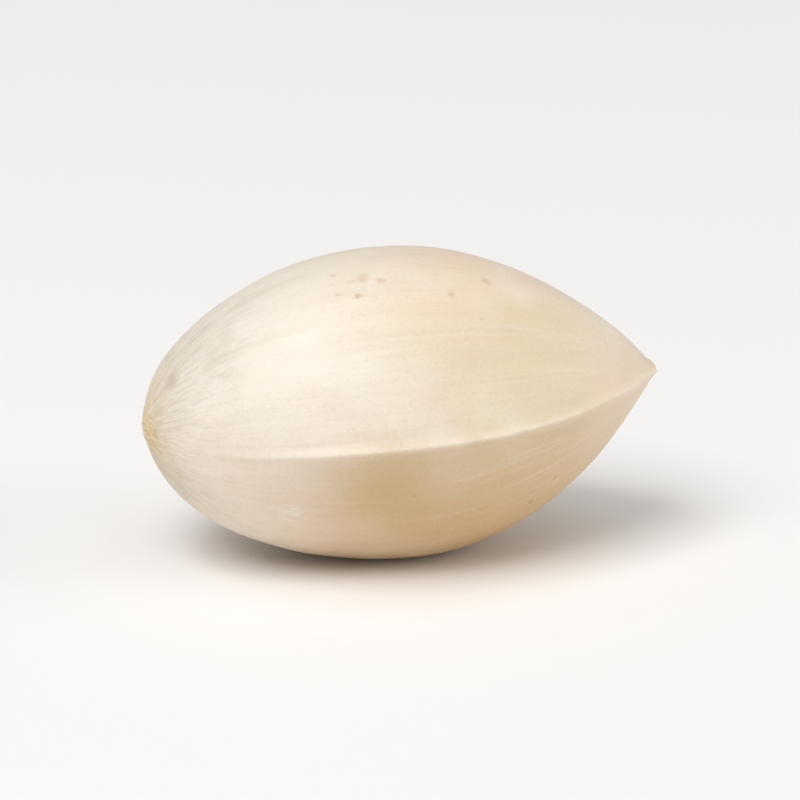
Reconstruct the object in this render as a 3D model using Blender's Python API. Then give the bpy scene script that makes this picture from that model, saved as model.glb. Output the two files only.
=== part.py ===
"""One ginkgo nut in its shell, lying on one of its two valves.

Metres, +Z up. The length runs along X, from the round base at -X to the pointed tip at +X.
The keel, the seam where the upper and the lower valve meet, runs all round the nut. It is level from side
to side and rises a little towards the tip, because the base is the heavy end.
The origin is the middle of the nut's footprint, at the height of the small flat spot that it rests on.
"""

import math

import bmesh
import bpy
from mathutils import Matrix, Vector, noise

MM = 0.001

# Driving sizes of the nut. The scar, the swellings and the flat spot change them by up to 0.2 mm.
LENGTH = 26.0 * MM
WIDTH = 17.0 * MM  # from keel to keel, bead and all
THICKNESS = 15.6 * MM
UPPER_SHARE = 0.48  # of the thickness, above the keel: the lower valve is the fuller one
FLAT_DEPTH = 0.14 * MM  # how much of the lower valve's belly the flat spot takes away
FLAT_SNAP = 0.02 * MM  # vertices nearer than this to the flat spot's level go onto it
REST_PITCH = math.radians(4)  # how far the tip is raised when the nut lies still

# Lengthwise profiles: where the nut is fullest, as a share of the length from the base,
# how round the base is (0.5 is an ellipse) and how pointed the tip is (1 is a cone-like parabola)
WIDTH_PROFILE = {"fullest": 0.445, "base_power": 0.52, "tip_power": 0.90}
THICKNESS_PROFILE = {"fullest": 0.500, "base_power": 0.52, "tip_power": 0.90}

# Cross-section: an ellipse at the base that turns into two bowed valves with an edge between them
KEEL_EDGE = 0.44  # share of the bowed form where the keel is crispest
KEEL_STARTS = 0.05  # shares of the length between which the keel rises out of the round base
KEEL_CRISP = 0.38
VALVE_BOW = 2.5  # power of the bowed form: 2 is a parabola, and more is fuller

# The keel stands out like a low wing, because the shell beside it is hollowed, and it carries a fine bead
WING_HEIGHT = 0.32 * MM
WING_REACH = 0.72 * MM
BEAD_HEIGHT = 0.16 * MM
BEAD_HALF_WIDTH = 0.26 * MM

# The beak at the tip, blunt like a chisel: broad along the keel and thin across it
BEAK_CUT = 0.55 * MM  # how far the keel's two flanks would run on past the beak to meet
BEAK_HALF_WIDTH = 1.15 * MM
BEAK_HALF_THICKNESS = 0.34 * MM
BEAK_ROUND = 0.32 * MM  # length over which the beak's end closes
BEAK_END_POWER = 3  # of the superellipse that it closes in: 2 is round, and more is squarer
BEAK_REACH = 1.30 * MM
BEAK_BLEND = 0.22 * MM

# The scar at the base, a low crest in line with the keel
SCAR_HALF_LENGTH = 1.30 * MM
SCAR_HALF_WIDTH = 0.55 * MM
SCAR_HEIGHT = 0.09 * MM
SCAR_ZONE = 0.1  # share of the length, from the base, that the scar can lie in

# Natural unevenness: a slight wave of the keel, and soft hollows and swellings of the shell
KEEL_WAVE = 0.16 * MM
KEEL_WAVE_SHIFT = 0.12  # share of the length
SWELL_HEIGHT = 0.13 * MM
SWELL_SIZE = 7.5 * MM
SWELL_PATTERN = Vector((3.1, 0.7, 5.2))  # which part of the noise the swellings follow
SWELL_FADE = 2.0 * MM  # half width of the nut below which they fade, towards both ends

SEGMENTS_ROUND = 80
RINGS_ALONG = 56
KEEL_CROWDING = 0.35  # how much closer together the segments stand at the keel

SHELL_COLOUR = (0.80, 0.69, 0.52, 1.0)
SHELL_ROUGHNESS = 0.42


def smooth_step(low, high, value):
    """0 below low, 1 above high, and an S-curve between."""
    t = min(1.0, max(0.0, (value - low) / (high - low)))
    return t * t * (3 - 2 * t)


def smooth_most(a, b, blend):
    """The greater of two lengths, with a fillet of about the blend where they cross."""
    return 0.5 * (a + b + math.sqrt((a - b) ** 2 + blend**2) - blend)


def profile(along, fullest, base_power, tip_power):
    """Share of the greatest half-breadth at a share of the length, 0 at the base and 1 at the tip."""
    if along < fullest:
        away, power = (fullest - along) / fullest, base_power
    else:
        away, power = (along - fullest) / (1 - fullest), tip_power
    return max(0.0, 1 - away**2) ** power


def with_beak(body, beak, from_tip):
    """A half-breadth of the nut that near the tip is no less than the beak's, and closes at its end."""
    near = smooth_step(BEAK_REACH, 0, from_tip)
    from_round = max(0.0, 1 - from_tip / BEAK_ROUND)
    closing = max(0.0, 1 - from_round**BEAK_END_POWER) ** (1 / BEAK_END_POWER)
    return closing * smooth_most(body, beak * near, BEAK_BLEND * near)


def half_sizes(along):
    """Half width, and the thickness above and below the keel, at a share of the length."""
    from_tip = (1 - along) * LENGTH
    uncut = along * LENGTH / (LENGTH + BEAK_CUT)
    flank = (WIDTH / 2 - BEAD_HEIGHT) * profile(uncut, **WIDTH_PROFILE)
    width = with_beak(flank, BEAK_HALF_WIDTH, from_tip)
    depth = THICKNESS * profile(along, **THICKNESS_PROFILE)
    upper = with_beak(UPPER_SHARE * depth, BEAK_HALF_THICKNESS, from_tip)
    lower = with_beak((1 - UPPER_SHARE) * depth, BEAK_HALF_THICKNESS, from_tip)
    return width, upper, lower


def keel_edge(along):
    """How much the cross-section has turned from an ellipse into two bowed valves."""
    return KEEL_EDGE * smooth_step(KEEL_STARTS, KEEL_CRISP, along)


def scar_height(across, up):
    """Height of the scar's crest over the base, at a distance across and up from the nut's axis."""
    return SCAR_HEIGHT * math.exp(-((across / SCAR_HALF_LENGTH) ** 4) - (up / SCAR_HALF_WIDTH) ** 2)


def swelling(point):
    """Outward swelling of the shell, a smooth field that is the same on each run."""
    return SWELL_HEIGHT * noise.noise(point / SWELL_SIZE + SWELL_PATTERN)


def shell_point(along, turn):
    """A point of the shell at a share of the length and an angle round it, with 0 and pi on the keel."""
    width, upper, lower = half_sizes(along)
    edge = keel_edge(along)
    side, rise = math.cos(turn), math.sin(turn)
    bowed = math.copysign(1 - abs(side) ** VALVE_BOW, rise)
    across = width * side
    up = (upper if rise > 0 else lower) * ((1 - edge) * rise + edge * bowed)

    bead = BEAD_HEIGHT * math.exp(-((up / BEAD_HALF_WIDTH) ** 2))
    hollow = WING_HEIGHT * (1 - math.exp(-abs(up) / WING_REACH))
    body_share = smooth_step(0.0, BEAK_REACH, (1 - along) * LENGTH)
    across += (bead - hollow) * (edge / KEEL_EDGE) * side * body_share

    back = scar_height(across, up) if along < SCAR_ZONE else 0.0
    wave = KEEL_WAVE * math.sin(2 * math.pi * (along - KEEL_WAVE_SHIFT)) * math.sin(math.pi * along)
    point = Vector(((along - 0.5) * LENGTH - back, across, up + wave))
    outward = Vector((0.0, side, rise))
    return point + outward * (swelling(point) * min(1.0, width / SWELL_FADE) * body_share)


def shape_shell(mesh):
    """Moves a unit ball's vertices, with its poles on X, onto the nut's shell."""
    for vertex in mesh.verts:
        ball = vertex.co.copy()
        turn = math.atan2(ball.z, ball.y)
        turn -= KEEL_CROWDING / 2 * math.sin(2 * turn)
        vertex.co = shell_point((1 + ball.x) / 2, turn)


def pitch_to_rest(mesh):
    """Raises the tip, so that the nut's weight is over the belly that it lies on."""
    bmesh.ops.rotate(mesh, verts=mesh.verts, matrix=Matrix.Rotation(-REST_PITCH, 3, "Y"))


def cut_flat_spot(mesh):
    """Cuts the belly off level, so that the nut rests on a small flat face."""
    floor = min(vertex.co.z for vertex in mesh.verts) + FLAT_DEPTH
    cut = bmesh.ops.bisect_plane(
        mesh,
        geom=mesh.verts[:] + mesh.edges[:] + mesh.faces[:],
        dist=FLAT_SNAP,
        plane_co=(0, 0, floor),
        plane_no=(0, 0, -1),
        use_snap_center=True,
        clear_outer=True,
    )
    rim = [piece for piece in cut["geom_cut"] if isinstance(piece, bmesh.types.BMEdge)]
    bmesh.ops.contextual_create(mesh, geom=rim)


def centre_on_footprint(mesh):
    """Puts the origin in the middle of the nut's footprint, at the height of the flat spot."""
    middle = [
        (min(v.co[axis] for v in mesh.verts) + max(v.co[axis] for v in mesh.verts)) / 2 for axis in (0, 1)
    ]
    floor = min(vertex.co.z for vertex in mesh.verts)
    bmesh.ops.translate(mesh, verts=mesh.verts, vec=(-middle[0], -middle[1], -floor))


def shell_material():
    material = bpy.data.materials.new("nut_shell")
    material.use_nodes = True
    surface = material.node_tree.nodes["Principled BSDF"]
    surface.inputs["Base Color"].default_value = SHELL_COLOUR
    surface.inputs["Roughness"].default_value = SHELL_ROUGHNESS
    surface.inputs["Metallic"].default_value = 0.0
    return material


def make_nut(collection):
    """The whole nut, one solid: both valves, the keel, the beak and the scar at the base."""
    mesh = bmesh.new()
    bmesh.ops.create_uvsphere(mesh, u_segments=SEGMENTS_ROUND, v_segments=RINGS_ALONG, radius=1.0)
    for vertex in mesh.verts:
        vertex.co = vertex.co.zxy  # the poles go from Z to X
    shape_shell(mesh)
    pitch_to_rest(mesh)
    cut_flat_spot(mesh)
    centre_on_footprint(mesh)
    bmesh.ops.recalc_face_normals(mesh, faces=mesh.faces)
    data = bpy.data.meshes.new("nut")
    mesh.to_mesh(data)
    mesh.free()
    data.shade_smooth()
    data.materials.append(shell_material())
    collection.objects.link(bpy.data.objects.new("nut", data))


def main():
    for old in list(bpy.data.objects):
        bpy.data.objects.remove(old)
    collection = bpy.data.collections.new("ginkgo_nut")
    bpy.context.scene.collection.children.link(collection)
    make_nut(collection)


main()
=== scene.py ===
# The looks of one ginkgo nut in its shell, laid over its plain solid: its fine surface, its colours and
# the light. Metres, +Z up, in the solid's frame. The round base is at -X and the pointed tip at +X. The
# keel, the seam between the upper and the lower valve, runs all round the nut between them.

import math

import bmesh
import bpy
from mathutils import Matrix, Vector, noise


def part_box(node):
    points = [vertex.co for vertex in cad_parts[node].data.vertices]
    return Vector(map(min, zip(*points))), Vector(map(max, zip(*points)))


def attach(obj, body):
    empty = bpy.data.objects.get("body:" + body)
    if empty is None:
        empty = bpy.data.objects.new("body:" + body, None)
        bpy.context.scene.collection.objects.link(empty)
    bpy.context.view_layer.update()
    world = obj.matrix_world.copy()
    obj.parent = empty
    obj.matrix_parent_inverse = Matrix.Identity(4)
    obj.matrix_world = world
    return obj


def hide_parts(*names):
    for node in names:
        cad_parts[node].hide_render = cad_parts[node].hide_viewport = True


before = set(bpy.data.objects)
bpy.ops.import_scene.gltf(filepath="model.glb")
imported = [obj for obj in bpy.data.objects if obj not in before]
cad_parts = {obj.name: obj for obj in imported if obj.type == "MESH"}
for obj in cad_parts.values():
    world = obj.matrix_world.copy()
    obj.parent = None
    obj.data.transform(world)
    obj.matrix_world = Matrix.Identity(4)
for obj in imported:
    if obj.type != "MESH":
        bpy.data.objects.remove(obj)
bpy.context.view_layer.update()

MM = 0.001

# Driving sizes of the nut, the same as the solid's
LENGTH = 26.0 * MM
WIDTH = 17.0 * MM  # from keel to keel, bead and all
THICKNESS = 15.6 * MM
UPPER_SHARE = 0.48  # of the thickness, above the keel: the lower valve is the fuller one
FLAT_DEPTH = 0.14 * MM  # how much of the lower valve's belly the flat spot takes away
REST_PITCH = math.radians(4)  # how far the tip is raised when the nut lies still

# Lengthwise profiles: where the nut is fullest, as a share of the length from the base,
# how round the base is (0.5 is an ellipse) and how pointed the tip is (1 is a cone-like parabola)
WIDTH_PROFILE = {"fullest": 0.445, "base_power": 0.52, "tip_power": 0.90}
THICKNESS_PROFILE = {"fullest": 0.500, "base_power": 0.52, "tip_power": 0.90}

# Cross-section: an ellipse at the base that turns into two bowed valves with an edge between them
KEEL_EDGE = 0.44  # share of the bowed form where the keel is crispest
KEEL_STARTS = 0.05  # shares of the length between which the keel rises out of the round base
KEEL_CRISP = 0.38
VALVE_BOW = 2.5  # power of the bowed form: 2 is a parabola, and more is fuller

# The keel stands out like a low wing, because the shell beside it is hollowed, and it carries a fine bead
WING_HEIGHT = 0.32 * MM
WING_REACH = 0.72 * MM
BEAD_HEIGHT = 0.16 * MM
BEAD_HALF_WIDTH = 0.26 * MM

# The beak at the tip, blunt like a chisel: broad along the keel and thin across it
BEAK_CUT = 0.55 * MM  # how far the keel's two flanks would run on past the beak to meet
BEAK_HALF_WIDTH = 1.15 * MM
BEAK_HALF_THICKNESS = 0.34 * MM
BEAK_ROUND = 0.32 * MM  # length over which the beak's end closes
BEAK_END_POWER = 3  # of the superellipse that it closes in: 2 is round, and more is squarer
BEAK_REACH = 1.30 * MM
BEAK_BLEND = 0.22 * MM

# The scar at the base, a low crest in line with the keel
SCAR_HALF_LENGTH = 1.30 * MM
SCAR_HALF_WIDTH = 0.55 * MM
SCAR_HEIGHT = 0.09 * MM
SCAR_ZONE = 0.1  # share of the length, from the base, that the scar can lie in

# Natural unevenness: a slight wave of the keel, and soft hollows and swellings of the shell
KEEL_WAVE = 0.16 * MM
KEEL_WAVE_SHIFT = 0.12  # share of the length
SWELL_HEIGHT = 0.13 * MM
SWELL_SIZE = 7.5 * MM
SWELL_PATTERN = Vector((3.1, 0.7, 5.2))  # which part of the noise the swellings follow
SWELL_FADE = 2.0 * MM  # half width of the nut below which they fade, towards both ends

# The mesh of the fine surface, and the two tubes on which the shell's lengthwise strands are laid out
SEGMENTS_ROUND = 368
RINGS_ALONG = 266
KEEL_CROWDING = 0.35  # how much closer together the segments stand at the keel
MERIDIAN = 30.0 * MM  # from the base to the tip over the shell
WIDE_TUBE = 6.0 * MM  # radius
NARROW_TUBE = 2.0 * MM
NARROW_FROM = (3.6 * MM, 1.8 * MM)  # between which radii of the nut the narrow tube takes over

# Soft dimples and lengthwise ribs all over the shell, and a few pits
DIMPLE_HEIGHT = 0.030 * MM
DIMPLE_SIZE = 2.3 * MM
RIB_HEIGHT = 0.008 * MM
RIB_SIZE = (4.0 * MM, 0.34 * MM)  # along the nut and across
PIT_DEPTH = 0.035 * MM
PIT_SPACING = 2.6 * MM
PIT_SHARE = 0.11  # radius of a pit, as a share of their spacing
PIT_FLOOR = 0.3  # radius of a pit's floor, as a share of the pit's

# Fibres round the base, which reach farther on the broad faces than beside the keel
FIBRE_HEIGHT = 0.018 * MM
FIBRE_SIZE = (1.3 * MM, 0.22 * MM)  # along the nut and across
FIBRE_REACH = 8.5 * MM  # from the base, on the broad faces
FIBRE_AT_KEEL = 0.45  # share of that reach beside the keel
FIBRE_FULL = 0.1  # share of the reach within which they stand at full height
FIBRE_BARE = (0.4 * MM, 1.6 * MM)  # radii round the axis between which the fibres set in
FIBRE_CREST = 0.4  # level of a fibre's crest over the shell, as a share of the fibres' height
FIBRE_STEEP = 2.0  # how steeply a fibre falls from its crest

# The scar's surface, ragged at its rim and crumbly inside
SCAR_SIDE = (0.4 * LENGTH, 0.2 * LENGTH)  # distances from the base between which it can set in
SCAR_REACH = (2.1 * MM, 1.1 * MM)  # along and across the keel
SCAR_RIM = (1.3, 0.5)  # shares of that reach between which it sets in
SCAR_RAGGED = 0.35  # how far its rim and the fibres' wander, as a share of their reach
SCAR_RAGGED_SIZE = 0.8 * MM
CRUMB_HEIGHT = 0.05 * MM
CRUMB_SIZE = (0.42 * MM, 0.22 * MM)  # along and across the keel
CRUMB_FINE = (2.3, 0.6)  # how many times finer, and how strong, its second layer is
HOLLOW_LEVELS = (0.2, -0.5)  # levels of the fibres and the crumb between which a hollow sets in

# Nicks in the keel's bead
NICK_SHARE = 0.22  # how much of the bead's height they take away
NICK_PATTERN = (34, 9, 2.7)  # steps of the noise along the nut and across it, and which part of it
NICK_LEVELS = (0.1, 0.5)  # levels of the noise between which a nick sets in

VALVE_BLEND = 0.045  # sine of the angle below the keel over which the lower valve sets in

# View of the photograph
AZIMUTH = math.radians(-10)
ELEVATION = math.radians(18)
SENSOR = 36.0
LENS = 240.0
NUT_SHARE = 0.64  # of the frame's width

# The studio. Softboxes: azimuth and elevation in degrees, distance and side in metres, and power in watts
LIGHTS = {
    "key": (-48, 56, 0.90, 0.55, 4.6),
    "fill": (74, 20, 0.90, 0.46, 1.60),
    "top": (-10, 78, 1.50, 1.60, 6.4),
}
FLOOR_SIDE = 12.0
ROOM_LIGHT = (1.0, 0.995, 0.985, 1.0)
ROOM_STRENGTH = 0.30


def smooth_step(low, high, value):
    """0 below low, 1 above high, and an S-curve between. Low may also be the greater of the two."""
    t = min(1.0, max(0.0, (value - low) / (high - low)))
    return t * t * (3 - 2 * t)


def smooth_most(a, b, blend):
    """The greater of two lengths, with a fillet of about the blend where they cross."""
    return 0.5 * (a + b + math.sqrt((a - b) ** 2 + blend**2) - blend)


def profile(along, fullest, base_power, tip_power):
    """Share of the greatest half-breadth at a share of the length, 0 at the base and 1 at the tip."""
    if along < fullest:
        away, power = (fullest - along) / fullest, base_power
    else:
        away, power = (along - fullest) / (1 - fullest), tip_power
    return max(0.0, 1 - away**2) ** power


def with_beak(body, beak, from_tip):
    """A half-breadth of the nut that near the tip is no less than the beak's, and closes at its end."""
    near = smooth_step(BEAK_REACH, 0, from_tip)
    from_round = max(0.0, 1 - from_tip / BEAK_ROUND)
    closing = max(0.0, 1 - from_round**BEAK_END_POWER) ** (1 / BEAK_END_POWER)
    return closing * smooth_most(body, beak * near, BEAK_BLEND * near)


def half_sizes(along):
    """Half width, and the thickness above and below the keel, at a share of the length."""
    from_tip = (1 - along) * LENGTH
    uncut = along * LENGTH / (LENGTH + BEAK_CUT)
    flank = (WIDTH / 2 - BEAD_HEIGHT) * profile(uncut, **WIDTH_PROFILE)
    width = with_beak(flank, BEAK_HALF_WIDTH, from_tip)
    depth = THICKNESS * profile(along, **THICKNESS_PROFILE)
    upper = with_beak(UPPER_SHARE * depth, BEAK_HALF_THICKNESS, from_tip)
    lower = with_beak((1 - UPPER_SHARE) * depth, BEAK_HALF_THICKNESS, from_tip)
    return width, upper, lower


def keel_edge(along):
    """How much the cross-section has turned from an ellipse into two bowed valves."""
    return KEEL_EDGE * smooth_step(KEEL_STARTS, KEEL_CRISP, along)


def scar_height(across, up):
    """Height of the scar's crest over the base, at a distance across and up from the nut's axis."""
    return SCAR_HEIGHT * math.exp(-((across / SCAR_HALF_LENGTH) ** 4) - (up / SCAR_HALF_WIDTH) ** 2)


def swelling(point):
    """Outward swelling of the shell, a smooth field that is the same on each run."""
    return SWELL_HEIGHT * noise.noise(point / SWELL_SIZE + SWELL_PATTERN)


def keel_nicks(along, side):
    """What is left of the keel's bead where small nicks break it, as a share of its height."""
    steps_along, steps_across, part = NICK_PATTERN
    level = noise.noise(Vector((along * steps_along, side * steps_across, part)))
    return 1 - NICK_SHARE * smooth_step(*NICK_LEVELS, level)


def shell_point(along, turn):
    """A point of the smooth shell in the nut's own frame, and how much of the keel's bead it has.

    The turn round the nut is 0 on the far keel and pi on the near one."""
    width, upper, lower = half_sizes(along)
    edge = keel_edge(along)
    side, rise = math.cos(turn), math.sin(turn)
    bowed = math.copysign(1 - abs(side) ** VALVE_BOW, rise)
    across = width * side
    up = (upper if rise > 0 else lower) * ((1 - edge) * rise + edge * bowed)

    crisp = edge / KEEL_EDGE
    keel = crisp * math.exp(-((up / BEAD_HALF_WIDTH) ** 2))
    bead = BEAD_HEIGHT * keel * keel_nicks(along, side)
    hollow = WING_HEIGHT * crisp * (1 - math.exp(-abs(up) / WING_REACH))
    body_share = smooth_step(0.0, BEAK_REACH, (1 - along) * LENGTH)
    across += (bead - hollow) * side * body_share

    back = scar_height(across, up) if along < SCAR_ZONE else 0.0
    wave = KEEL_WAVE * math.sin(2 * math.pi * (along - KEEL_WAVE_SHIFT)) * math.sin(math.pi * along)
    point = Vector(((along - 0.5) * LENGTH - back, across, up + wave))
    outward = Vector((0.0, side, rise))
    return point + outward * (swelling(point) * min(1.0, width / SWELL_FADE) * body_share), keel


def long_noise(place, sizes):
    """Noise in features that are long along the first axis."""
    length, breadth = sizes
    return noise.noise(Vector((place.x / length, place.y / breadth, place.z / breadth)))


class ShellSpot:
    """One vertex of the shell: where it lies, how high its relief is, and what its colours depend on.

    Its places are in the nut's own frame. Its shares say how much it has of the keel's bead, the lower
    valve, the two ends where the narrow tube is used, the scar, the fibres, and these two's hollows."""

    PLACES = ("point", "wide_strand", "narrow_strand")
    SHARES = ("keel", "lower", "ends", "scar", "fibres", "hollow")

    def __init__(self, ball):
        along = (1 + ball.x) / 2
        turn = math.atan2(ball.z, ball.y)
        turn -= KEEL_CROWDING / 2 * math.sin(2 * turn)
        self.point, self.keel = shell_point(along, turn)
        # The share of the lower valve, over which the material paints shade.
        self.lower = smooth_step(0.0, -VALVE_BLEND, math.sin(turn)) * keel_edge(along) / KEEL_EDGE

        self.way = MERIDIAN * math.acos(max(-1.0, min(1.0, -ball.x))) / math.pi
        self.radius = math.hypot(self.point.y, self.point.z)
        self.ends = smooth_step(*NARROW_FROM, self.radius)
        self.wide_strand = self.strand(WIDE_TUBE)
        self.narrow_strand = self.strand(NARROW_TUBE)
        self.scar, self.fibres = self.base_zones(abs(math.sin(turn)))
        self.relief, self.hollow = self.fine_surface()

    def strand(self, tube):
        """Place on a tube round the nut's axis, on which its lengthwise strands lie side by side."""
        outward = Vector((0.0, self.point.y, self.point.z)).normalized()
        return Vector((self.way, 0.0, 0.0)) + outward * tube

    def strand_noise(self, sizes):
        """Noise that runs along the strands, without crowding them at the two ends."""
        wide, narrow = long_noise(self.wide_strand, sizes), long_noise(self.narrow_strand, sizes)
        return wide + (narrow - wide) * self.ends

    def base_zones(self, broad):
        """Shares of the scar and the fibres. Broad is 0 on the keel and 1 on the crown and the belly."""
        from_base = self.point.x + LENGTH / 2
        ragged = SCAR_RAGGED * noise.noise(self.point / SCAR_RAGGED_SIZE)
        from_scar = math.hypot(self.point.y / SCAR_REACH[0], self.point.z / SCAR_REACH[1])
        scar = smooth_step(*SCAR_RIM, from_scar + ragged) * smooth_step(*SCAR_SIDE, from_base)

        reach = FIBRE_REACH * (FIBRE_AT_KEEL + (1 - FIBRE_AT_KEEL) * broad**2) * (1 + ragged)
        fibres = smooth_step(reach, FIBRE_FULL * reach, from_base)
        return scar, fibres * smooth_step(*FIBRE_BARE, self.radius)

    def fine_surface(self):
        """Height of the fine relief over the smooth shell, and the share of hollows in it."""
        dimples = DIMPLE_HEIGHT * noise.noise(self.point / DIMPLE_SIZE)
        ribs = RIB_HEIGHT * self.strand_noise(RIB_SIZE)
        distances, _ = noise.voronoi(self.point / PIT_SPACING)
        pit = PIT_DEPTH * smooth_step(PIT_SHARE, PIT_FLOOR * PIT_SHARE, distances[0])

        ridge = FIBRE_CREST - FIBRE_STEEP * abs(self.strand_noise(FIBRE_SIZE))
        fibres = FIBRE_HEIGHT * ridge * self.fibres * (1 - self.scar)

        keelwise = self.point.yzx  # its first axis lies along the keel
        finer, strength = CRUMB_FINE
        crumb = long_noise(keelwise, CRUMB_SIZE) + strength * long_noise(keelwise * finer, CRUMB_SIZE)
        rough = CRUMB_HEIGHT * crumb * self.scar

        hollow = smooth_step(*HOLLOW_LEVELS, ridge + (crumb - ridge) * self.scar)
        return (dimples + ribs - pit) * (1 - self.keel) + fibres + rough, hollow


def add_relief(mesh, spots):
    """Raises the fine relief over the smooth shell, along its normals."""
    bmesh.ops.recalc_face_normals(mesh, faces=mesh.faces)
    mesh.normal_update()
    for vertex, spot in zip(mesh.verts, spots):
        vertex.co += vertex.normal * spot.relief


def settle(mesh):
    """Raises the tip and flattens the resting spot."""
    bmesh.ops.rotate(mesh, verts=mesh.verts, matrix=Matrix.Rotation(-REST_PITCH, 3, "Y"))
    floor = min(vertex.co.z for vertex in mesh.verts) + FLAT_DEPTH
    for vertex in mesh.verts:
        vertex.co.z = max(vertex.co.z, floor)


def fit_to_solid(mesh):
    """Fits the fine surface to the solid's box, which its relief would pass by hundredths of a mm."""
    solid_low, solid_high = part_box("nut")
    for axis in range(3):
        low = min(vertex.co[axis] for vertex in mesh.verts)
        high = max(vertex.co[axis] for vertex in mesh.verts)
        scale = (solid_high[axis] - solid_low[axis]) / (high - low)
        for vertex in mesh.verts:
            vertex.co[axis] = solid_low[axis] + (vertex.co[axis] - low) * scale


def store_facts(data, spots):
    """Keeps each spot's places, in mm, and its shares with the mesh, for the material to read."""
    for name in ShellSpot.PLACES:
        places = [number for spot in spots for number in getattr(spot, name) / MM]
        data.attributes.new(name, "FLOAT_VECTOR", "POINT").data.foreach_set("vector", places)
    for name in ShellSpot.SHARES:
        shares = [getattr(spot, name) for spot in spots]
        data.attributes.new(name, "FLOAT", "POINT").data.foreach_set("value", shares)


def make_shell():
    """The whole shell as one closed mesh."""
    mesh = bmesh.new()
    bmesh.ops.create_uvsphere(mesh, u_segments=SEGMENTS_ROUND, v_segments=RINGS_ALONG, radius=1.0)
    spots = [ShellSpot(vertex.co.zxy) for vertex in mesh.verts]  # the ball's poles go from Z to X
    for vertex, spot in zip(mesh.verts, spots):
        vertex.co = spot.point
    add_relief(mesh, spots)
    settle(mesh)
    fit_to_solid(mesh)

    data = bpy.data.meshes.new("nut_shell")
    mesh.to_mesh(data)
    mesh.free()
    data.shade_smooth()
    store_facts(data, spots)
    shell = bpy.data.objects.new("nut_shell", data)
    bpy.context.scene.collection.objects.link(shell)
    return shell


def srgb(red, green, blue):
    """A colour as the shader takes it, from the 0 to 255 of a picture."""

    def linear(value):
        share = value / 255
        return share / 12.92 if share <= 0.04045 else ((share + 0.055) / 1.055) ** 2.4

    return (linear(red), linear(green), linear(blue), 1.0)


CREAM = srgb(239, 224, 203)
PEACH = srgb(240, 215, 194)
STRAW = srgb(229, 212, 176)
IVORY = srgb(248, 240, 228)
STREAK = srgb(206, 190, 160)
# Painted shade: the tan that darkens the lower valve, with a painted warm reflection of light bounced from
# below.
SHADE_TAN = srgb(211, 172, 118)
OLIVE = srgb(196, 184, 142)
TIP_WARM = srgb(228, 186, 146)
SCAR_YELLOW = srgb(228, 202, 150)
SCAR_BROWN = srgb(160, 128, 84)
FIBRE_GREY = srgb(176, 164, 140)
FRECKLE = srgb(196, 142, 100)
SPECK = srgb(122, 90, 66)
# Yellow tan of the patch just under the near keel.
UNDER_KEEL_TAN = srgb(204, 172, 106)
KEEL_PALE = srgb(250, 240, 222)
FLOOR_WHITE = srgb(249, 248, 247)

# Clouds: size in mm, which part of the noise, and the levels of the noise between which they set in
PEACH_CLOUDS = (9, (2.0, 5.1, 0.4), 0.36, 0.66)
STRAW_CLOUDS = (10, (7.3, 1.2, 3.3), 0.36, 0.62)
IVORY_CLOUDS = (5, (1.1, 8.2, 6.6), 0.46, 0.75)
# Unevenness of the painted shade on the lower valve.
SHADE_TAN_CLOUDS = (7, (3.0, 0.6, 2.2), 0.25, 0.60)
STREAK_CLOUDS = (5, (4.0, 0.2, 9.0), 0.40, 0.65)
GREY_CLOUDS = (3, (0.0, 4.0, 1.0), 0.30, 0.65)
KEEL_CLOUDS = (0.9, (0.0, 0.0, 0.0), 0.35, 0.60)

# Lengthwise streaks: length and breadth in mm, which part of the noise, the levels of the noise between
# which they set in, and its detail
BROAD_STREAKS = (9, 1.0, (0.0, 0.0, 0.0), 0.48, 0.72, 2.0)
FINE_STREAKS = (5, 0.20, (5.0, 0.0, 0.0), 0.48, 0.70, 3.0)
PALE_STREAKS = (6, 0.26, (9.0, 3.0, 0.0), 0.50, 0.74, 3.0)
OLIVE_STREAKS = (3.5, 0.24, (1.0, 6.0, 0.0), 0.42, 0.62, 2.0)
TUFTS = (1.4, 0.15, (0.0, 4.0, 1.0), 0.50, 0.66, 3.0)
SCRATCHES = (0.7, 0.13, (3.0, 0.0, 0.0), 0.46, 0.56, 2.0)
GLOSS_STREAKS = (4, 0.5, (0.0, 7.0, 0.0), 0.40, 0.70, 2.0)

# Zones in mm, from where a tint sets in to where it is full. Those along the nut count from its middle
# towards the tip, so that its base is at -13.
STRAW_OFF_BASE = (-7, 5)
STRAW_OFF_TIP = (12, 6)
# Zone of the paler base half, partly the shell's own colour and partly painted light from the upper left:
PALE_AND_LIT_BASE = (3, -8)
# Zones of the painted shade on the lower valve, along the nut and across it:
SHADE_TAN_OFF_BASE = (-10, -1)
SHADE_TAN_OFF_TIP = (12, 4)
SHADE_NEAR_SIDE = (4, -4)  # across, from the far to the near keel
# Zone of the painted light on the upper valve, up from the keel, where the light from above falls:
PAINTED_LIGHT_CROWN = (-2, 2)  # up from the keel
# Zone of the painted shade on the lower valve, down from the keel:
SHADE_BELLY = (0, -5.5)

# Fine lines and pores: length and breadth in mm, and the levels of the noise between which the pores'
# darker and paler mottling sets in
LINE_SIZE = (2.5, 0.12)
PORE_SIZE = (0.20, 1 / 6)
PORES_DARK = (0.50, 0.72)
PORES_PALE = (0.48, 0.28)

# Threads of the scar, which lie in line with the keel: steps of the noise to a mm along each axis, and the
# levels of it between which the gaps and the pale threads set in
THREADS = (1.5, 1.5, 6.0)
THREAD_GAPS = (0.48, 0.62)
THREAD_TOPS = (0.46, 0.34)

# The yellowed base: the middle of its tint, which lies behind the base, and its reach from there, in mm
AGED_CENTRE = (-LENGTH / 2 / MM - 2.5, 0.0, 0.0)
AGED_REACH = 6.0

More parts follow.
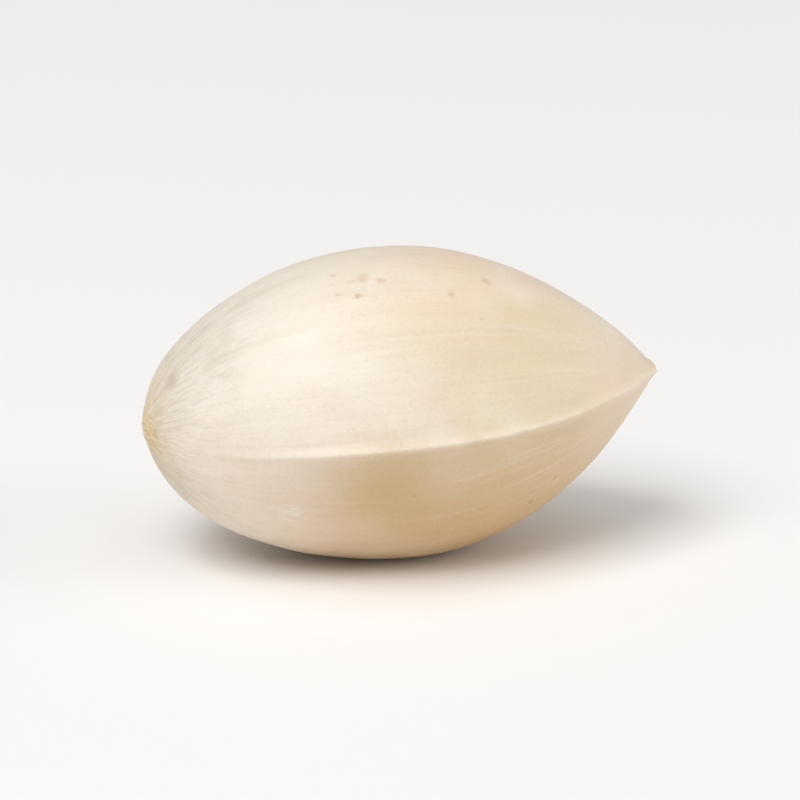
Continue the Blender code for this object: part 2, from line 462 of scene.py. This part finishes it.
# Patches: share of the length, angle round it in degrees and radius in mm. The angle is 0 at the far keel,
# 90 at the crown, 180 at the near keel and 270 at the belly.
SCUFF = (0.24, 214, 0.85)
OLIVE_PATCH = (0.36, 318, 7.0)
FRECKLED = ((0.62, 122, 2.8), (0.40, 112, 2.0), (0.52, 66, 2.6), (0.56, 226, 2.0), (0.34, 292, 3.0))

# Marks: share of the length, angle and radius as above, colour, strength, softness and raggedness
MARKS = {
    # A yellow-tan patch just under the near keel, near mid-length.
    "under_keel_tan": (0.42, 201, 4.3, UNDER_KEEL_TAN, 0.66, 0.98, 0.35),
    "tip_blush": (0.90, 184, 4.2, PEACH, 0.50, 0.95, 0.3),
    "speck": (0.47, 206, 0.15, SPECK, 0.24, 0.9, 0.8),
    "tip_speck": (0.76, 221, 0.26, SPECK, 0.28, 0.9, 1.4),
    "tip_speck_low": (0.71, 228, 0.22, SPECK, 0.34, 0.9, 1.4),
    "far_halo": (0.60, 62, 1.30, IVORY, 0.45, 0.9, 0.6),
    "far_ring": (0.60, 62, 0.66, FIBRE_GREY, 0.45, 0.9, 1.0),
    "far_spot": (0.60, 62, 0.34, SPECK, 0.70, 0.9, 1.2),
    "base_dimple": (0.055, 118, 0.80, SCAR_BROWN, 0.30, 0.9, 0.8),
    "tip": (1.0, 180, 1.30, TIP_WARM, 0.45, 0.9, 0.3),
    "freckle_halo": (0.64, 116, 2.40, PEACH, 0.45, 0.95, 0.6),
    "freckle_broad": (0.43, 108, 0.52, FRECKLE, 0.34, 0.95, 1.3),
    "freckle_long": (0.46, 111, 0.34, FRECKLE, 0.28, 0.95, 1.3),
    "freckle_low": (0.59, 119, 0.36, FRECKLE, 0.34, 0.95, 1.3),
    "freckle_tip": (0.665, 110, 0.42, FRECKLE, 0.36, 0.95, 1.4),
}
MARK_RAGGED_SIZE = 0.45  # mm

# Small freckles, each at its own place in a cell. Sizes without a unit are shares of the cell's breadth.
FRECKLE_CELL = (1.0, 0.75)  # mm, along the nut and across
FRECKLE_WARP = (2.6, 0.45)  # steps of the noise to a mm, and how far in mm it moves their outlines
FRECKLE_RADIUS = 0.30
FRECKLE_SIZES = (0.5, 1.1)  # chances in a cell between which the radius grows
FRECKLE_CHANCE = (0.55, 0.65)  # chances between which a cell gets a freckle
FRECKLE_HALO = (0.18, -0.10)  # distances from the radius between which the halo and the core set in
FRECKLE_CORE = (0.02, -0.14)
CORE_SHARE = 0.65  # of a freckle's strength

# Finish of the shell
ROUGHNESS = (0.42, 0.52)  # off and on the gloss streaks
FIBRES_ROUGHER = 0.12
SPECULAR = 0.48
SOFT_LIGHT = 0.12  # share of light that goes a little way into the shell
SOFT_LIGHT_DEPTH = 0.6 * MM
SOFT_LIGHT_TINT = (1.0, 0.65, 0.4)  # shares of that depth for red, green and blue
BUMP_HEIGHT = 0.03 * MM
BUMP_STRENGTH = 0.6
LINES_IN_BUMP = 0.65  # share of the lines in the bump: the pores have the rest


class Shader:
    """Short calls for the nodes of one material."""

    MIX_FACTOR, MIX_A, MIX_B, MIX_RESULT = 0, 6, 7, 2  # sockets of a Mix node that mixes colours

    def __init__(self, name):
        self.material = bpy.data.materials.new(name)
        self.material.use_nodes = True
        self.tree = self.material.node_tree
        self.surface = self.tree.nodes["Principled BSDF"]

    def feed(self, socket, value):
        """Links another node's output to a socket, or sets the socket's own value."""
        if isinstance(value, bpy.types.NodeSocket):
            self.tree.links.new(value, socket)
        else:
            socket.default_value = value

    def finish(self, values):
        """Gives the surface its values by their names."""
        for name, value in values.items():
            self.feed(self.surface.inputs[name], value)

    def node(self, kind, inputs, **settings):
        """A new node, whose inputs are numbers, colours or other nodes' outputs."""
        made = self.tree.nodes.new("ShaderNode" + kind)
        for name, value in settings.items():
            setattr(made, name, value)
        for socket, value in inputs.items():
            self.feed(made.inputs[socket], value)
        return made

    def attribute(self, name, output="Fac"):
        """A value that the mesh keeps for each vertex."""
        return self.node("Attribute", {}, attribute_name=name).outputs[output]

    def axis(self, vector, name):
        return self.node("SeparateXYZ", {"Vector": vector}).outputs[name]

    def math(self, operation, *values):
        return self.node("Math", dict(enumerate(values)), operation=operation).outputs[0]

    def times(self, *values):
        """The product of two or more values."""
        product = values[0]
        for value in values[1:]:
            product = self.math("MULTIPLY", product, value)
        return product

    def between(self, start, end, share):
        """From start to end as the share goes from 0 to 1."""
        return self.math("ADD", start, self.times(share, end - start))

    def smooth(self, value, low, high):
        """0 where the value is at low, 1 where it is at high, and an S-curve between."""
        inputs = {"Value": value, "From Min": low, "From Max": high}
        return self.node("MapRange", inputs, interpolation_type="SMOOTHSTEP").outputs["Result"]

    def mix(self, factor, a, b):
        """Colour a where the factor is 0, and colour b where it is 1."""
        inputs = {self.MIX_FACTOR: factor, self.MIX_A: a, self.MIX_B: b}
        return self.node("Mix", inputs, data_type="RGBA").outputs[self.MIX_RESULT]

    def stretch(self, vector, x, y, z):
        scale = {0: vector, 1: (x, y, z)}
        return self.node("VectorMath", scale, operation="MULTIPLY").outputs[0]

    def shift(self, vector, offset):
        return self.node("VectorMath", {0: vector, 1: offset}, operation="ADD").outputs[0]

    def in_steps(self, vector, length, breadth=None):
        """A place counted in steps of a length, or of a breadth across the nut where one is given."""
        across = 1 / (breadth or length)
        return self.stretch(vector, 1 / length, across, across)

    def noise(self, vector, detail=2.0, roughness=0.5):
        """Noise of one step to a feature, from 0 to 1 and mostly near 0.5."""
        inputs = {"Vector": vector, "Scale": 1.0, "Detail": detail, "Roughness": roughness}
        return self.node("TexNoise", inputs).outputs["Fac"]

    def near(self, point, centre, radius, softness, ragged, ragged_size):
        """1 at a centre and 0 beyond a radius, with a soft and ragged rim."""
        wobble = self.noise(self.in_steps(point, ragged_size), detail=3.0)
        wobble = self.math("SUBTRACT", wobble, 0.5)
        away = self.node("VectorMath", {0: point, 1: centre}, operation="DISTANCE").outputs["Value"]
        away = self.math("ADD", away, self.times(wobble, ragged * radius))
        return self.smooth(away, radius, radius * (1 - softness))


class ShellShader(Shader):
    """The shader of the shell: coats of colour, in patterns that are in mm in the nut's own frame."""

    def __init__(self):
        super().__init__("shell_finish")
        self.colour = CREAM
        self.place = self.attribute("point", "Vector")
        self.x, self.y, self.z = (self.axis(self.place, name) for name in "XYZ")
        self.strands = [self.attribute(name, "Vector") for name in ("wide_strand", "narrow_strand")]
        self.keel, self.lower, self.ends, self.scar, self.fibres, self.hollow = (
            self.attribute(name) for name in ShellSpot.SHARES
        )
        self.pores = self.noise(self.in_steps(self.place, *PORE_SIZE), detail=3.0)

    def coat(self, tint, *shares, strength=1.0):
        """Lays a tint over the colour so far, where all of the shares are high."""
        self.colour = self.mix(self.times(*shares, strength), self.colour, tint)

    def cloud(self, size, offset, low, high):
        """Soft patches of about a size."""
        moved = self.shift(self.in_steps(self.place, size), offset)
        return self.smooth(self.noise(moved), low, high)

    def grain(self, length, breadth, offset, detail):
        """Noise of about a length and a breadth, that runs along the strands."""
        wide, narrow = (
            self.noise(self.shift(self.in_steps(strand, length, breadth), offset), detail)
            for strand in self.strands
        )
        return self.math("ADD", wide, self.times(self.math("SUBTRACT", narrow, wide), self.ends))

    def streaks(self, length, breadth, offset, low, high, detail):
        """Streaks along the nut, where its grain goes from one level to another."""
        return self.smooth(self.grain(length, breadth, offset, detail), low, high)

    def patch(self, along, turn, radius, softness, ragged, ragged_size):
        """1 at a place on the shell and 0 beyond a radius."""
        centre, _ = shell_point(along, math.radians(turn))
        return self.near(self.place, centre / MM, radius, softness, ragged, ragged_size)

    def freckles(self):
        """Soft uneven spots with a darker core, in some of the cells."""
        scale, reach = FRECKLE_WARP
        warp = self.node("TexNoise", {"Vector": self.place, "Scale": scale, "Detail": 3.0}).outputs["Color"]
        moved = self.shift(self.place, self.stretch(warp, reach, reach, reach))
        moved = self.in_steps(moved, *FRECKLE_CELL)
        cells = self.node("TexVoronoi", {"Vector": moved, "Scale": 1.0})
        chance = self.node("SeparateColor", {"Color": cells.outputs["Color"]}).outputs[0]
        radius = self.times(self.smooth(chance, *FRECKLE_SIZES), FRECKLE_RADIUS)
        away = self.math("SUBTRACT", cells.outputs["Distance"], radius)
        halo = self.times(self.smooth(away, *FRECKLE_HALO), 1 - CORE_SHARE)
        core = self.times(self.smooth(away, *FRECKLE_CORE), CORE_SHARE)
        return self.times(self.math("ADD", halo, core), self.smooth(chance, *FRECKLE_CHANCE))

    def soft_tints(self):
        """Peach, straw and ivory clouds, and a paler base half, partly its own colour and partly painted
        light, with painted light on the upper valve making it palest there.
        """
        self.coat(PEACH, self.cloud(*PEACH_CLOUDS))
        off_base, off_tip = self.smooth(self.x, *STRAW_OFF_BASE), self.smooth(self.x, *STRAW_OFF_TIP)
        self.coat(STRAW, self.cloud(*STRAW_CLOUDS), off_base, self.between(0.40, 0.80, off_tip))
        self.coat(IVORY, self.cloud(*IVORY_CLOUDS), strength=0.45)
        # Painted light: ivory over the base half, strongest on the upper valve, which faces the light from
        # above and the upper left.
        crown = self.between(0.25, 0.65, self.smooth(self.z, *PAINTED_LIGHT_CROWN))
        self.coat(IVORY, self.smooth(self.x, *PALE_AND_LIT_BASE), crown)

    def painted_shade_lower_valve(self):
        """Painted shade and a painted warm reflection on the lower valve: a tan, deepest on its belly, at
        mid-length and on its near side.
        """
        belly = self.between(0.40, 0.90, self.smooth(self.z, *SHADE_BELLY))
        off_ends = self.times(self.smooth(self.x, *SHADE_TAN_OFF_BASE), self.smooth(self.x, *SHADE_TAN_OFF_TIP))
        middle = self.between(0.35, 1.0, off_ends)
        uneven = self.between(0.65, 1.0, self.cloud(*SHADE_TAN_CLOUDS))
        near_side_shade = self.between(0.45, 1.0, self.smooth(self.y, *SHADE_NEAR_SIDE))
        self.coat(SHADE_TAN, self.lower, belly, middle, uneven, near_side_shade)

    def lengthwise_streaks(self):
        """Darker and paler streaks, the fine dark ones stronger among the fibres, and the olive patch."""
        self.coat(STREAK, self.streaks(*BROAD_STREAKS), self.cloud(*STREAK_CLOUDS), strength=0.22)
        self.coat(STREAK, self.streaks(*FINE_STREAKS), self.between(0.10, 0.25, self.fibres))
        self.coat(IVORY, self.streaks(*PALE_STREAKS), strength=0.16)
        olive = self.patch(*OLIVE_PATCH, softness=0.9, ragged=0.3, ragged_size=2.5)
        streaked = self.between(0.45, 1.0, self.streaks(*OLIVE_STREAKS))
        self.coat(OLIVE, olive, streaked, strength=0.6)

    def aged_base(self):
        """The yellowed base, with greyish fibres and pale tufts of them."""
        aged = self.near(self.place, AGED_CENTRE, AGED_REACH, softness=0.95, ragged=0.5, ragged_size=1.2)
        self.coat(SCAR_YELLOW, aged, strength=0.95)
        self.coat(FIBRE_GREY, self.fibres, self.cloud(*GREY_CLOUDS), strength=0.26)
        self.coat(FIBRE_GREY, self.fibres, self.hollow, strength=0.26)
        self.coat(IVORY, self.fibres, self.streaks(*TUFTS), strength=0.45)

    def yellow_scar(self):
        """The yellow scar, brown in its hollows and between its threads, which are pale."""
        threads = self.noise(self.stretch(self.place, *THREADS), detail=4.0, roughness=0.6)
        gaps = self.times(self.smooth(threads, *THREAD_GAPS), 0.30)
        hollow_brown = self.math("ADD", self.times(self.hollow, 0.25), gaps)
        self.coat(SCAR_YELLOW, self.scar, strength=0.80)
        self.coat(SCAR_BROWN, self.scar, hollow_brown)
        self.coat(IVORY, self.scar, self.smooth(threads, *THREAD_TOPS), strength=0.40)

    def keel_line(self):
        """The pale and broken line of the keel's bead."""
        line = self.math("POWER", self.keel, 2.0)
        self.coat(KEEL_PALE, line, self.between(0.15, 0.50, self.cloud(*KEEL_CLOUDS)))

    def mottling(self):
        """Fine darker and paler mottling of the whole shell."""
        self.coat(STREAK, self.smooth(self.pores, *PORES_DARK), strength=0.16)
        self.coat(IVORY, self.smooth(self.pores, *PORES_PALE), strength=0.11)

    def marks(self):
        """Freckles in loose clusters, the scuff's pale scratches, and each other mark in its place."""
        clusters = 0.0
        for place in FRECKLED:
            cluster = self.patch(*place, softness=0.7, ragged=0.5, ragged_size=1.5)
            clusters = self.math("MAXIMUM", clusters, cluster)
        self.coat(FRECKLE, self.freckles(), clusters, strength=0.5)

        scuff = self.patch(*SCUFF, softness=0.8, ragged=1.2, ragged_size=0.5)
        self.coat(IVORY, scuff, self.streaks(*SCRATCHES), strength=0.6)

        for along, turn, radius, tint, strength, softness, ragged in MARKS.values():
            mark = self.patch(along, turn, radius, softness, ragged, MARK_RAGGED_SIZE)
            self.coat(tint, mark, strength=strength)

    def surface_finish(self):
        """A satin shell with fine lengthwise lines and pores, which light enters a little."""
        rough = self.between(*ROUGHNESS, self.streaks(*GLOSS_STREAKS))
        lines = self.times(self.grain(*LINE_SIZE, (0.0, 0.0, 0.0), 3.0), LINES_IN_BUMP)
        height = self.math("ADD", lines, self.times(self.pores, 1 - LINES_IN_BUMP))
        bump = self.node("Bump", {"Strength": BUMP_STRENGTH, "Distance": BUMP_HEIGHT, "Height": height})
        self.finish({
            "Base Color": self.colour,
            "Roughness": self.math("ADD", rough, self.times(self.fibres, FIBRES_ROUGHER)),
            "Specular IOR Level": SPECULAR,
            "Subsurface Weight": SOFT_LIGHT,
            "Subsurface Radius": SOFT_LIGHT_TINT,
            "Subsurface Scale": SOFT_LIGHT_DEPTH,
            "Normal": bump.outputs["Normal"],
        })


def shell_material():
    """Cream woody shell, in coats from the widest tint to the smallest mark."""
    shader = ShellShader()
    shader.soft_tints()
    shader.painted_shade_lower_valve()
    shader.lengthwise_streaks()
    shader.aged_base()
    shader.yellow_scar()
    shader.keel_line()
    shader.mottling()
    shader.marks()
    shader.surface_finish()
    return shader.material


# Where the camera and the lights look
solid_low, solid_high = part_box("nut")
centre = (solid_low + solid_high) / 2
nut_length = (solid_high - solid_low).x


def direction(azimuth, elevation):
    """From the nut towards a viewer or a light, who looks along +Y at azimuth 0."""
    flat = math.cos(elevation)
    return Vector((math.sin(azimuth) * flat, -math.cos(azimuth) * flat, math.sin(elevation)))


def make_camera():
    """A long lens at the photograph's angle, as far away as the nut's share of the frame asks for."""
    data = bpy.data.cameras.new("camera")
    data.sensor_width = SENSOR
    data.lens = LENS
    data.clip_start = 1 * MM
    camera = bpy.data.objects.new("camera", data)
    back = direction(AZIMUTH, ELEVATION)
    distance = nut_length * math.cos(AZIMUTH) / NUT_SHARE * LENS / SENSOR
    camera.location = centre + back * distance
    camera.rotation_euler = back.to_track_quat("Z", "Y").to_euler()
    bpy.context.scene.collection.objects.link(camera)
    bpy.context.scene.camera = camera


def make_floor():
    """A plain pale floor."""
    shader = Shader("floor_pale")
    shader.finish({"Base Color": FLOOR_WHITE, "Roughness": 0.8, "Specular IOR Level": 0.1})
    bpy.ops.mesh.primitive_plane_add(size=FLOOR_SIDE, location=(0, 0, 0))
    floor = bpy.context.object
    floor.name = "floor"
    floor.data.materials.append(shader.material)


def make_softbox(name, azimuth, elevation, distance, side, power):
    """A square studio light that faces the nut."""
    data = bpy.data.lights.new(name, "AREA")
    data.size = side
    data.energy = power
    light = bpy.data.objects.new(name, data)
    toward = direction(math.radians(azimuth), math.radians(elevation))
    light.location = centre + toward * distance
    light.rotation_euler = toward.to_track_quat("Z", "Y").to_euler()
    bpy.context.scene.collection.objects.link(light)


def make_light():
    """Soft light from the upper left, the right and above, and a little from all round."""
    for name, values in LIGHTS.items():
        make_softbox(name, *values)
    world = bpy.data.worlds.new("world")
    world.use_nodes = True
    background = world.node_tree.nodes["Background"]
    background.inputs["Color"].default_value = ROOM_LIGHT
    background.inputs["Strength"].default_value = ROOM_STRENGTH
    bpy.context.scene.world = world
    bpy.context.scene.view_settings.view_transform = "Standard"


shell = make_shell()
shell.data.materials.append(shell_material())
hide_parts("nut")
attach(shell, "root")

make_camera()
make_floor()
make_light()
